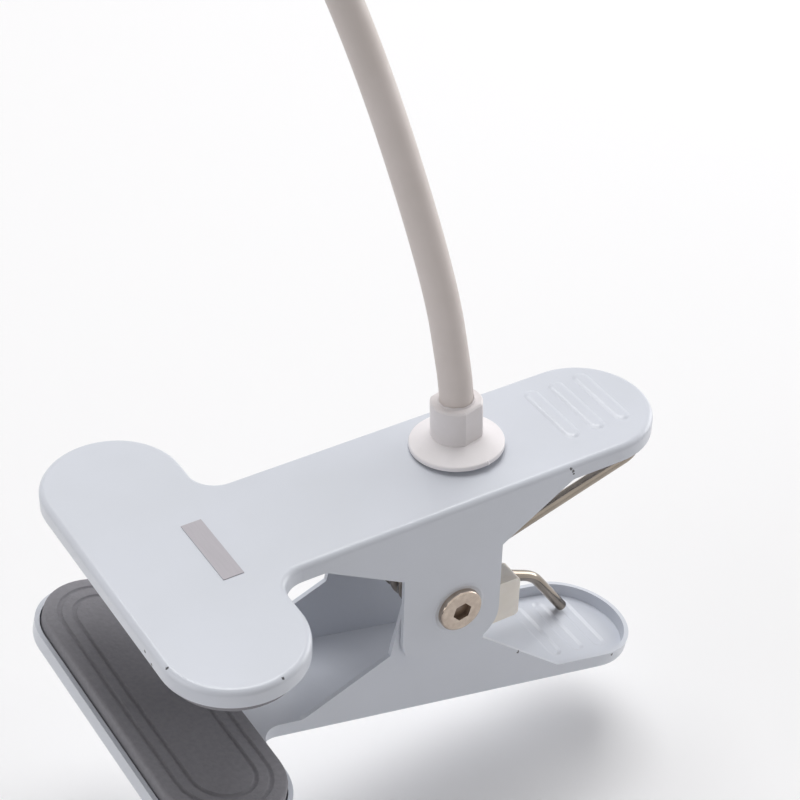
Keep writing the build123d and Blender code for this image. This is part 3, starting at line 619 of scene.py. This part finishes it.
# %% [markdown]
# ## Floor
# The lamp stands over a plain pale floor that takes its soft shadow. It is one large square, a
# little below the lowest place that a handle reaches when the clip is let shut. It is part of
# the stage and not of the lamp.

# %% Lay the floor
floor_level = -95
floor_reach = 2500
pale_floor, shader = finish("pale_floor", "#FAFAFB", 0.7, {"Specular IOR Level": 0.2})
uneven_gloss(pale_floor, shader, place_in_lamp(pale_floor), 60, 0.65, 0.75)
quarters = ((-1, -1), (1, -1), (1, 1), (-1, 1))
corners = [point(x * floor_reach, y * floor_reach, floor_level) for x, y in quarters]
floor_mesh = bpy.data.meshes.new("floor")
floor_mesh.from_pydata(corners, [], [(0, 1, 2, 3)])
floor_mesh.materials.append(pale_floor)
floor = bpy.data.objects.new("floor", floor_mesh)
scene.collection.objects.link(floor)

# %% [markdown]
# ## Ways to make a mesh
# The pieces below are made as rings of corners with faces between them. A turned piece, like a
# nut or a screw cap, has its rings round one axis, and a swept piece, like a wire, has them
# along a line. Blender's Screw and Curve tools could make plain ones, but here threads, flats
# and knurls also change the radius from angle to angle, and rings made in code allow that.

# %% Helpers for rings


def skin(rings, hollow):
    """Corners and faces over equal rings; a hollow skin comes back to its first ring."""
    sides = len(rings[0])
    corners = [corner for ring in rings for corner in ring]
    faces = []
    for k in range(len(rings) if hollow else len(rings) - 1):
        low, high = k * sides, (k + 1) % len(rings) * sides
        for i in range(sides):
            j = (i + 1) % sides
            faces.append((low + i, low + j, high + j, high + i))
    if not hollow:
        faces += [tuple(range(sides)), tuple(range(len(corners) - sides, len(corners)))]
    return corners, faces


def make_piece(name, rings, hollow, material, stands_for=(), body=None):
    """A smooth piece with crisp edges over the rings, which stands for CAD nodes on a body."""
    mesh = bpy.data.meshes.new(name)
    corners, faces = skin(rings, hollow)
    mesh.from_pydata(corners, [], faces)
    shape = bmesh.new()
    shape.from_mesh(mesh)
    bmesh.ops.recalc_face_normals(shape, faces=shape.faces)
    shape.to_mesh(mesh)
    shape.free()
    mesh.shade_smooth()
    mesh.set_sharp_from_angle(angle=radians(35))
    mesh.materials.append(material)
    piece = bpy.data.objects.new(name, mesh)
    scene.collection.objects.link(piece)
    if stands_for:
        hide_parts(*stands_for)
    if body:
        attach(piece, body)
    print(f"{name}: {len(corners)} corners")
    return piece


def turn(stand, profile, sides, shape=None):
    """Rings round the third axis of a stand, through a profile of radii and heights.

    The shape, where there is one, changes a radius by its height and angle.
    """
    rings = []
    for radius, height in profile:
        ring = []
        for i in range(sides):
            angle = 2 * pi * i / sides
            reach = shape(radius, height, angle) if shape else radius
            ring.append(stand @ point(reach * cos(angle), reach * sin(angle), height))
        rings.append(ring)
    return rings


def levels(solid):
    """The lowest and the highest level of a solid, in millimetres."""
    return [corner.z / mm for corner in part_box(solid)]


def steps(first, last, count):
    """Evenly spaced numbers from first to last."""
    return [first + (last - first) * k / count for k in range(count + 1)]


# %% [markdown]
# A swept piece needs its line first. The helpers below round the line's corners, space its
# points evenly, and carry a pair of directions along it that never twist, so that the rings
# of a swept piece don't twist either.

# %% Helpers for lines


def toward(start, goal, reach):
    """The place at a reach in millimetres from a start towards a goal."""
    return start + (goal - start).normalized() * reach * mm


def bend(start, corner, end, count=10):
    """A smooth bend that leaves its start towards the corner and comes to its end from it."""
    places = []
    for share in steps(0, 1, count):
        rest = 1 - share
        places.append(start * rest**2 + corner * 2 * share * rest + end * share**2)
    return places


def evenly(line, spacing):
    """The same line with its points at an even spacing of about so many millimetres."""
    runs = [(after - before).length for before, after in zip(line, line[1:])]
    count = max(2, round(sum(runs) / (spacing * mm)))
    places, k, passed = [line[0]], 0, 0.0
    for i in range(1, count):
        goal = sum(runs) * i / count
        while passed + runs[k] < goal:
            passed += runs[k]
            k += 1
        places.append(line[k].lerp(line[k + 1], (goal - passed) / runs[k]))
    return places + [line[-1]]


def carry(line):
    """Frames carried along a line without twist: place, two directions across, and run."""
    frames, run = [], 0.0
    across = (line[1] - line[0]).orthogonal()
    for k, place in enumerate(line):
        heading = (line[min(k + 1, len(line) - 1)] - line[max(k - 1, 0)]).normalized()
        across = (across - heading * across.dot(heading)).normalized()
        if k:
            run += (place - line[k - 1]).length
        frames.append((place, across, heading.cross(across), run))
    return frames


def sweep(frames, sides, section):
    """Rings round a line; the section gives the radius in millimetres by angle and run."""
    rings, ways = [], []
    for place, across, upward, run in frames:
        ring = []
        for i in range(sides):
            angle = 2 * pi * i / sides
            reach = section(angle, run / mm) * mm
            ring.append(place + across * reach * cos(angle) + upward * reach * sin(angle))
            ways += [reach * cos(angle), reach * sin(angle), run]
        rings.append(ring)
    return rings, ways


def keep_ways(piece, ways):
    """Write on each corner where it is round and along the line."""
    written = piece.data.attributes.new(round_and_along, "FLOAT_VECTOR", "POINT")
    written.data.foreach_set("vector", ways)


# %% [markdown]
# ## Torsion spring
# One length of 3 mm wire makes the spring: a foot hooked under the upper handle, a leg, five
# close turns round the pivot, a second leg and its foot in the lower handle. A curve with a
# round bevel could draw it, but the wire's draw marks need to know where they are along it, so
# it is swept from rings.

# %% Bend the wire's line
wire_radius = 1.5
coil_radius = 7.5
wire_low, wire_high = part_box("clamp_spring")
coil_near = wire_low.y / mm + wire_radius
coil_far = wire_high.y / mm - wire_radius
coil_start = 106.8
coil_turn = 1938.3
knee = 3.2
upper_leg, upper_foot = (16.8, 58.0), (86.0, 6.72)  # each by its angle and its length
lower_leg, lower_foot = (-24.9, 48.3), (-55.9, 18.8)


def heading(angle):
    """A direction in the plane across the pivot, by its angle above the X axis."""
    return Vector((cos(radians(angle)), 0, sin(radians(angle))))


def run_on(start, angle, length):
    """Where a straight run of wire ends, by its angle and its length."""
    return start + heading(angle) * length * mm


def on_coil(share):
    """A place on the coil, from 0 at its near end to 1 at its far end."""
    middle = point(pivot[0], coil_near + (coil_far - coil_near) * share, pivot[2])
    return run_on(middle, coil_start + coil_turn * share, coil_radius)


upper_knee = run_on(on_coil(0), *upper_leg)
lower_knee = run_on(on_coil(1), *lower_leg)
upper_tip = run_on(upper_knee, *upper_foot)
lower_tip = run_on(lower_knee, *lower_foot)
wire = [upper_tip, toward(upper_tip, upper_knee, 0.2), toward(upper_tip, upper_knee, 0.4)]
wire += bend(toward(upper_knee, upper_tip, knee), upper_knee, toward(upper_knee, on_coil(0), knee))
wire += [on_coil(share) for share in steps(0, 1, 200)]
wire += bend(toward(lower_knee, on_coil(1), knee), lower_knee, toward(lower_knee, lower_tip, knee))
wire += [toward(lower_tip, lower_knee, 0.4), toward(lower_tip, lower_knee, 0.2), lower_tip]
wire_frames = carry(wire)
wire_length = wire_frames[-1][3] / mm
print("wire:", round(wire_length, 1), "mm long")

# %% [markdown]
# The wire's cut ends are dulled, so its section gets smaller over the last few tenths. When the
# jaws move, the near end of the coil stays with the upper pressing and the far end turns with
# the lower one.

# %% Sweep the wire
tip_round = 0.4


def wire_section(angle, run):
    """Round wire, with its cut ends dulled."""
    return wire_radius - max(0, tip_round - run, run - (wire_length - tip_round))


rings, ways = sweep(wire_frames, 24, wire_section)
spring = make_piece("torsion_spring", rings, False, nickel_wire, ["clamp_spring"])
keep_ways(spring, ways)
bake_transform(spring)

# %% [markdown]
# ## Gooseneck
# The neck's line starts in the collar, bends through eight corners and ends in the ferrule over
# the head. Between two corners it passes through the middle of the run, so a quadratic bend
# from middle to middle makes one smooth line with no straight in it. The real sleeve is one
# piece; here it is in four lengths, because each length bends at one joint.

# %% Bend the neck's line
neck_lean = radians(3.5)
lean_across = Vector((-0.25, 0.97, 0)).normalized()
neck_up = Vector((0, 0, 1)) * cos(neck_lean) + lean_across * sin(neck_lean)
neck_side = lean_across * cos(neck_lean) - Vector((0, 0, 1)) * sin(neck_lean)
neck_foot = point(78.4, 2.5, 8.314)
seat_height = 4.8
neck_seat = neck_foot + neck_up * seat_height * mm
neck_corners = [neck_seat, neck_seat + neck_up * 12 * mm, point(76.6, 10.5, 53.6)]
neck_corners += [point(69.6, 39.3, 110.6), point(52, 66, 165), point(28, 76, 226)]
neck_corners += [point(-4, 80, 280), point(-52, 76, 306), point(-92, 70, 284), point(-92, 70, 240)]


def middle_after(k):
    """The middle of the run that follows a corner."""
    return (neck_corners[k] + neck_corners[k + 1]) / 2


def long_bend(k):
    """The bend at a corner, from the middle of its first run to the middle of its second."""
    return bend(middle_after(k - 1), neck_corners[k], middle_after(k), 24)[1:]


def short_bend(k, reach):
    """The bend at a corner that takes only a reach of each run."""
    corner = neck_corners[k]
    before, after = neck_corners[k - 1], neck_corners[k + 1]
    return bend(toward(corner, before, reach), corner, toward(corner, after, reach))


base = [neck_corners[0]] + short_bend(1, 5.4) + [middle_after(1)] + long_bend(2)
lower = [base[-1]] + long_bend(3) + long_bend(4)
upper = [lower[-1]] + long_bend(5) + long_bend(6)
top = [upper[-1]] + long_bend(7) + short_bend(8, 22) + [neck_corners[9]]
neck_lines = {"base": base, "lower": lower, "upper": upper, "top": top}
print("neck: lengths through", [len(line) for line in neck_lines.values()], "points")

# %% [markdown]
# Both the sleeve and the conduit inside it follow this line. The conduit is wound from a
# zinc plated strip, so its radius dips along a helix: the dip depends on how far along the neck
# and how far round it a corner is.

# %% Sweep the sleeve and the conduit
sleeve_radius, sleeve_bore = 4.15, 3.25
conduit_radius, conduit_bore = 3.2, 2.2
strip_pitch = 3.0
strip_dip = 0.3
neck_bodies = {
    "base": ("clip", "neck_lower", 2, middle_after(2)),
    "lower": ("neck_lower", "neck_upper", 4, middle_after(4)),
    "upper": ("neck_upper", "neck_top", 6, middle_after(6)),
    "top": ("neck_top", "head", 8, toward(neck_corners[8], neck_corners[9], 34)),
}


def winding(angle, run):
    """How far the strip's edge dips, from 0 to 1, along its helix."""
    turn_share = (run / strip_pitch - angle / (2 * pi)) % 1
    return max(0, 1 - abs(turn_share - 0.5) / 0.22)


def neck_tube(kind, solid, material, spacing, sides, outer, bore):
    """One tube in four lengths along the neck's line, each for its own solid."""
    whole, ends = [neck_corners[0]], [0]
    for line in neck_lines.values():
        whole += evenly(line, spacing)[1:]
        ends.append(len(whole) - 1)
    frames = carry(whole)
    for k, (length, (before, after, joint, end)) in enumerate(neck_bodies.items()):
        part = frames[ends[k] : ends[k + 1] + 1]
        outside, outside_ways = sweep(part, sides, outer)
        inside, inside_ways = sweep(part[::-1], sides, lambda angle, run: bore)
        rings, stands_for = outside + inside, [f"{solid}_{length}"]
        piece = make_piece(f"{kind}_{length}", rings, True, material, stands_for)
        keep_ways(piece, outside_ways + inside_ways)
        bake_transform(piece)


def smooth_skin(angle, run):
    """The sleeve's radius, the same everywhere."""
    return sleeve_radius


def wound_skin(angle, run):
    """The conduit's radius, less the dip between two turns of its strip."""
    return conduit_radius - strip_dip * winding(angle, run)


neck_tube("vinyl_sleeve", "neck_sleeve", soft_vinyl, 2.0, 40, smooth_skin, sleeve_bore)
neck_tube("wound_conduit", "neck_conduit", zinc_strip, 0.75, 20, wound_skin, conduit_bore)

# %% [markdown]
# ## Rubber pads
# Each jaw holds a pad of soft grey rubber, as long and as round as the jaw. It is moulded: the
# grip's edge is rounded, the wall leans in a little so that it leaves its mould, and two
# shallow grooves follow the outline on the gripping face. So it is made of outlines, each one
# inset from the last, as a stack of contour lines.

# %% Mould the pads
pad_end_radius = 15.8
pad_half_run = 30.1
pad_seat = -1.2
pad_grip = -7.6
grip_edge = 0.8
grooves = (3.4, 7.0)
groove_form = ((0, 0), (0.25, 0.35), (0.5, 0.45), (0.9, 0.45), (1.15, 0.35), (1.4, 0))


def pad_outline(stand, inset, height):
    """A ring round the pad: two half circles joined by straight sides."""
    reach = pad_end_radius - inset
    ring = []
    for side in (1, -1):
        for angle in steps(0 if side > 0 else pi, pi if side > 0 else 2 * pi, 28):
            place = point(reach * cos(angle), side * pad_half_run + reach * sin(angle), height)
            ring.append(stand @ place)
        for share in (0.25, 0.5, 0.75):
            ring.append(stand @ point(-side * reach, side * pad_half_run * (1 - 2 * share), height))
    return ring


pad_profile = [(4.0, pad_seat), (0.5, pad_seat), (0.2, pad_seat - 0.1), (0.05, pad_seat - 0.4)]
pad_profile += [(0.0, pad_seat - 1.2), (0.05, pad_grip + 2.2)]
for angle in steps(0, pi / 2, 5):
    pad_profile.append((0.1 + grip_edge * (1 - cos(angle)), pad_grip + grip_edge * (1 - sin(angle))))
for groove in grooves:
    for inset, depth in groove_form:
        pad_profile.append((groove + inset, pad_grip + depth))
pad_profile.append((12.0, pad_grip))

upper_seat = Matrix.Translation(point(0, 0, 7.6))
seat_x, seat_z = Vector((0.97318, 0, -0.23005)), Vector((-0.23005, 0, -0.97318))
lower_seat = Matrix((seat_x, seat_z.cross(seat_x), seat_z)).transposed().to_4x4()
lower_seat = Matrix.Translation(point(-5.57, 0, -40.165)) @ lower_seat
for jaw, body, stand in (("upper", "clip", upper_seat), ("lower", "lower_clip", lower_seat)):
    rings = [pad_outline(stand, inset, height) for inset, height in pad_profile]
    make_piece(f"{jaw}_rubber_pad", rings, False, pad_rubber, [f"{jaw}_pad"], body)

# %% [markdown]
# ## Threads
# A hollow nipple holds the neck on the clip: the collar screws on its top and a nut under the
# pressing draws it down. Another holds the head. A thread is a helix, so its radius depends on
# height and angle together.

# %% Cut the threads
nipple_radius, nipple_bore = 4.0, 2.8
nipple_pitch = 1.0
thread_depth = 0.45
neck_nipple_low = -10.21


def thread_wave(height, angle, pitch):
    """A round thread's form: 0 on its crest and 1 in its root."""
    return 0.5 - 0.5 * cos(2 * pi * (height / pitch - angle / (2 * pi)))


def nipple_shape(radius, height, angle):
    """An outside thread on the nipple, and a plain bore."""
    if radius < nipple_radius - 0.5:
        return radius
    return radius - thread_depth * thread_wave(height, angle, nipple_pitch)


def threaded_nipple(name, stand, low, high, body, stands_for):
    """A hollow threaded tube with chamfered ends."""
    tip = nipple_radius - 0.3
    outside = [(tip, low)]
    outside += [(nipple_radius, h) for h in steps(low + 0.3, high - 0.3, round((high - low) * 6))]
    outside += [(tip, high), (nipple_bore, high), (nipple_bore, low)]
    rings = turn(stand, outside, 36, nipple_shape)
    make_piece(name, rings, True, zinc_plate, [stands_for], body)


neck_stand = Matrix((neck_side, neck_up.cross(neck_side), neck_up)).transposed().to_4x4()
neck_stand = Matrix.Translation(neck_foot) @ neck_stand
head_stand = Matrix.Translation(point(*head_axis, 0))
threaded_nipple("threaded_neck_nipple", neck_stand, neck_nipple_low, seat_height, "clip", "neck_nipple")
threaded_nipple("threaded_head_nipple", head_stand, *levels("head_nipple"), "head", "head_nipple")

# %% [markdown]
# ## Nuts
# A nut is cut from hexagon bar, and its corners are turned off by a chamfer. Of the hexagon's
# radius and the chamfer's cone the smaller one is kept, which gives the curved edges that a
# real nut has where the cone meets its flats.

# %% Turn the nuts
nut_flats = 13.0
nut_height = 4.5
neck_nut_low = -8.08


def hex_shape(radius, height, angle):
    """A hexagon's radius, kept under the radius of the profile; the bore stays round."""
    if radius <= nut_flats / 2 - 0.4:
        return radius
    from_flat = (angle + pi / 6) % (pi / 3) - pi / 6
    return min(radius, nut_flats / 2 / cos(from_flat))


def chamfered_nut(name, stand, low, body, stands_for):
    """A hexagon nut with both faces chamfered."""
    bore, face, corner = nipple_radius + 0.05, nut_flats / 2 - 0.5, nut_flats / 3**0.5
    flat = nut_flats / 2 - 0.05
    high = low + nut_height
    outside = [(bore, low), (face, low), (flat, low), (corner, low + 0.6)]
    outside += [(corner, high - 0.6), (flat, high), (face, high), (bore, high)]
    rings = turn(stand, outside, 72, hex_shape)
    make_piece(name, rings, True, zinc_plate, [stands_for], body)


chamfered_nut("chamfered_neck_nut", neck_stand, neck_nut_low, "clip", "nipple_nut")
chamfered_nut("chamfered_head_nut", head_stand, levels("head_nut")[0], "head", "head_nut")

# %% [markdown]
# ## Screw cap and its shell
# The bulb's cap is thin aluminium, rolled into a round thread with a pitch of 2.82 mm, and the
# holder's brass shell is rolled to match. Both threads are the same helix at two sizes, so that
# the cap sits in the shell as if it had been screwed in.

# %% Roll the threads
cap_pitch = 2.82
cap_low, cap_high = levels("bulb_cap")
shell_low, shell_high = levels("holder_shell")


def rolled(depth, low, high):
    """A rolled thread of a depth between two heights, as a change of radius."""

    def shape(radius, height, angle):
        """The profile's radius, less the rolled dip."""
        ends = min(1, max(0, height - low), max(0, high - height))
        return radius - depth * ends * thread_wave(height, angle, cap_pitch)

    return shape


cap_profile = [(6.2, cap_low), (6.75, cap_low + 0.15), (6.9, cap_low + 0.5)]
cap_profile += [(6.9, height) for height in steps(cap_low + 1, cap_high - 3.2, 56)]
cap_profile += [(6.5, cap_high - 2.6), (5.9, cap_high - 1.4), (4.9, cap_high - 0.3), (4.5, cap_high)]
rings = turn(head_stand, cap_profile, 48, rolled(0.55, cap_low + 1.5, cap_high - 3.2))
make_piece("rolled_bulb_cap", rings, False, rolled_aluminium, ["bulb_cap"], "head")

shell_heights = steps(shell_low, shell_high, 60)
shell_profile = [(7.68, height) for height in shell_heights]
shell_profile += [(7.38, height) for height in reversed(shell_heights)]
rings = turn(head_stand, shell_profile, 48, rolled(0.33, shell_low, shell_high))
make_piece("rolled_holder_shell", rings, True, pressed_brass, ["holder_shell"], "head")

# %% [markdown]
# ## Knurled bezel and ribbed ring
# The switch is held by a small nickel nut with a knurled rim, and the shade by a plastic ring
# with ribs for the fingers. Both are turned rings whose rim dips between the ridges.

# %% Knurl the bezel and rib the ring


def ridged(rim, count, dip):
    """A rim with so many ridges; only radii near the rim change."""

    def shape(radius, height, angle):
        """The profile's radius, less the dip between two ridges."""
        near_rim = min(1, max(0, 1 - (rim - radius) / (2 * dip)))
        return radius - dip * near_rim * (1 - abs(sin(count / 2 * angle)))

    return shape


bezel_low, bezel_high = levels("switch_bezel")
bezel_rim, bezel_bore = 5.4, 3.75
profile = [(bezel_bore, bezel_low), (bezel_rim - 0.3, bezel_low), (bezel_rim, bezel_low + 0.2)]
profile += [(bezel_rim, bezel_high - 0.6), (bezel_rim - 0.25, bezel_high - 0.2)]
profile += [(bezel_rim - 0.7, bezel_high), (bezel_bore + 0.3, bezel_high)]
profile += [(bezel_bore, bezel_high - 0.3)]
bezel_middle = sum(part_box("switch_bezel"), Vector()) / 2
bezel_stand = Matrix.Translation(Vector((bezel_middle.x, bezel_middle.y, 0)))
rings = turn(bezel_stand, profile, 216, ridged(bezel_rim, 36, 0.25))
make_piece("knurled_bezel", rings, True, nickel_bezel, ["switch_bezel"], "head")

ring_low, ring_high = levels("shade_ring")
ring_rim, ring_bore = 18.0, 13.05
profile = [(ring_bore, ring_high), (ring_rim - 0.3, ring_high), (ring_rim, ring_high - 0.3)]
profile += [(ring_rim, ring_low + 1.2), (ring_rim - 0.2, ring_low + 0.5), (ring_rim - 0.9, ring_low)]
profile += [(ring_bore + 0.4, ring_low), (ring_bore, ring_low + 0.4)]
rings = turn(head_stand, profile, 180, ridged(ring_rim, 30, 0.5))
stands_for = ["shade_ring"]
make_piece("ribbed_shade_ring", rings, True, white_thermoset, stands_for, "head")

# %% [markdown]
# ## The gate's nib
# Small marks show that a piece was moulded. The flange keeps a nib on its rim, where the sprue
# that fed its mould was cut off. It is turned like the nuts, with a radius that wanders.

# %% Leave the gate's nib
flange_rim = 11.7
gate_angle = radians(173)
gate_foot = point(flange_rim * cos(gate_angle), flange_rim * sin(gate_angle), 0)
gate_stand = neck_stand @ Matrix.Translation(gate_foot)


def torn(radius, height, angle):
    """A radius with the uneven skin of a cut sprue."""
    return radius * (1 + 0.25 * sin(2 * angle + 3 * height) + 0.15 * sin(5 * angle))


nib_profile = [(0.20, 0.05), (0.34, 0.25), (0.36, 0.7), (0.28, 1.1), (0.16, 1.3)]
rings = turn(gate_stand, nib_profile, 14, torn)
make_piece("gate_nib", rings, False, white_abs, body="clip")

# %% [markdown]
# ## The collar's flash
# Some of the collar's plastic crept out of its mould at the mouth, and left a thin ragged lip
# round the sleeve. It is a ring whose height wanders with the angle.

# %% Leave the collar's flash
mouth_height = 12.8
lip_inside, lip_outside = 4.2, 4.55
lip_peak = radians(224)


def lip_height(angle):
    """How high the flash stands, in millimetres."""
    peak = max(0, cos(angle - lip_peak)) ** 4
    return 0.35 + 0.12 * sin(3 * angle + 1) + 0.08 * sin(11 * angle) + 0.6 * peak


lip_rings = []
for radius, share in ((lip_inside, -0.2), (lip_inside, 1), (lip_inside + 0.12, 1), (lip_outside, -0.2)):
    ring = []
    for i in range(96):
        angle = 2 * pi * i / 96
        height = mouth_height + share * lip_height(angle)
        ring.append(neck_stand @ point(radius * cos(angle), radius * sin(angle), height))
    lip_rings.append(ring)
make_piece("collar_flash", lip_rings, True, shaded_white_abs, body="clip")
